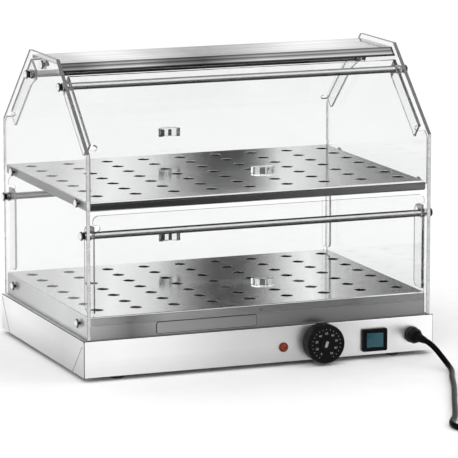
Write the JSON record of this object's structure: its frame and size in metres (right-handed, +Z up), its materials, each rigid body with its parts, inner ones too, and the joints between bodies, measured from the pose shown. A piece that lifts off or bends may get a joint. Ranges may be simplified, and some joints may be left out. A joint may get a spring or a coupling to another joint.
{
  "type": "hot food display case",
  "caption": "Countertop heated display case: steel base with knob, switch and lamp, perforated tray and shelf, clear gabled ends, clear flaps hung on rods, mains cord.",
  "frame": {"origin": "On the worktop under the middle of the case without its cord, at the level of the feet's undersides.", "axes": "+X runs along the front from the lamp side to the switch side, -Y is the front with the controls, +Z is up."},
  "size_m": [0.5642, 0.8335, 0.4111],
  "materials": {
    "brushed_stainless": "brushed",
    "polished_stainless": "polished",
    "clear_acrylic": "gloss",
    "black_plastic": "satin",
    "black_rubber": "matte",
    "amber_lens": "gloss",
    "dark_teal_rocker": "gloss",
    "zinc_plated": "satin",
    "white_insulator": "matte"
  },
  "bodies": {
    "case": {"base_housing": "brushed_stainless", "bottom_plate": "zinc_plated", "foot_front_left": "black_rubber", "foot_front_right": "black_rubber", "foot_back_left": "black_rubber", "foot_back_right": "black_rubber", "warming_tray": "brushed_stainless", "upper_shelf": "brushed_stainless", "shelf_bottom": "brushed_stainless", "name_plate": "brushed_stainless", "flap_stop_upper": "clear_acrylic", "flap_stop_lower": "clear_acrylic", "side_panel_left": "clear_acrylic", "side_panel_right": "clear_acrylic", "screw_tray_front_left": "polished_stainless", "screw_tray_front_right": "polished_stainless", "screw_tray_back_left": "polished_stainless", "screw_tray_back_right": "polished_stainless", "screw_shelf_front_left": "polished_stainless", "screw_shelf_front_right": "polished_stainless", "screw_shelf_back_left": "polished_stainless", "screw_shelf_back_right": "polished_stainless", "screw_roof_left": "polished_stainless", "screw_roof_right": "polished_stainless", "rod_cap_front_upper_left": "polished_stainless", "rod_cap_front_upper_right": "polished_stainless", "rod_cap_back_upper_left": "polished_stainless", "rod_cap_back_upper_right": "polished_stainless", "rod_cap_front_lower_left": "polished_stainless", "rod_cap_front_lower_right": "polished_stainless", "rod_cap_back_lower_left": "polished_stainless", "rod_cap_back_lower_right": "polished_stainless", "rod_front_upper": "polished_stainless", "rod_back_upper": "polished_stainless", "rod_front_lower": "polished_stainless", "rod_back_lower": "polished_stainless", "roof_strip": "brushed_stainless", "thermostat": "zinc_plated", "lamp_lens": "amber_lens", "lamp_holder": "black_plastic", "switch_body": "black_plastic", "heating_element": "zinc_plated", "terminal_block": "white_insulator", "cord_gland": "black_plastic", "strain_relief": "black_rubber", "power_cord": "black_rubber", "cord_coil": "black_rubber", "coil_tie": "black_rubber", "cord_tail": "black_rubber", "mains_plug": "black_plastic"},
    "front_upper_door": {"front_upper_flap": "clear_acrylic", "front_upper_handle": "clear_acrylic"},
    "back_upper_door": {"back_upper_flap": "clear_acrylic", "back_upper_handle": "clear_acrylic"},
    "front_lower_door": {"front_lower_flap": "clear_acrylic", "front_lower_handle": "clear_acrylic"},
    "back_lower_door": {"back_lower_flap": "clear_acrylic", "back_lower_handle": "clear_acrylic"},
    "knob": {"control_knob": "black_plastic"},
    "rocker": {"switch_rocker": "dark_teal_rocker"}
  },
  "joints": [
    {"name": "front_upper_hinge", "type": "hinge", "parent": "case", "child": "front_upper_door", "pos_m": [0, -0.0749, 0.377], "axis": [-1, 0, 0], "range_deg": [0, 140]},
    {"name": "back_upper_hinge", "type": "hinge", "parent": "case", "child": "back_upper_door", "pos_m": [0, 0.0611, 0.377], "axis": [1, 0, 0], "range_deg": [0, 85]},
    {"name": "front_lower_hinge", "type": "hinge", "parent": "case", "child": "front_lower_door", "pos_m": [0, -0.1609, 0.193], "axis": [-1, 0, 0], "range_deg": [0, 110]},
    {"name": "back_lower_hinge", "type": "hinge", "parent": "case", "child": "back_lower_door", "pos_m": [0, 0.1671, 0.193], "axis": [1, 0, 0], "range_deg": [0, 110]},
    {"name": "knob_turn", "type": "hinge", "parent": "case", "child": "knob", "pos_m": [0.085, -0.1719, 0.0295], "axis": [0, 1, 0], "range_deg": [0, 270]},
    {"name": "switch_rock", "type": "hinge", "parent": "case", "child": "rocker", "pos_m": [0.1625, -0.1734, 0.0263], "axis": [0, 0, 1], "range_deg": [0, 14]}
  ]
}
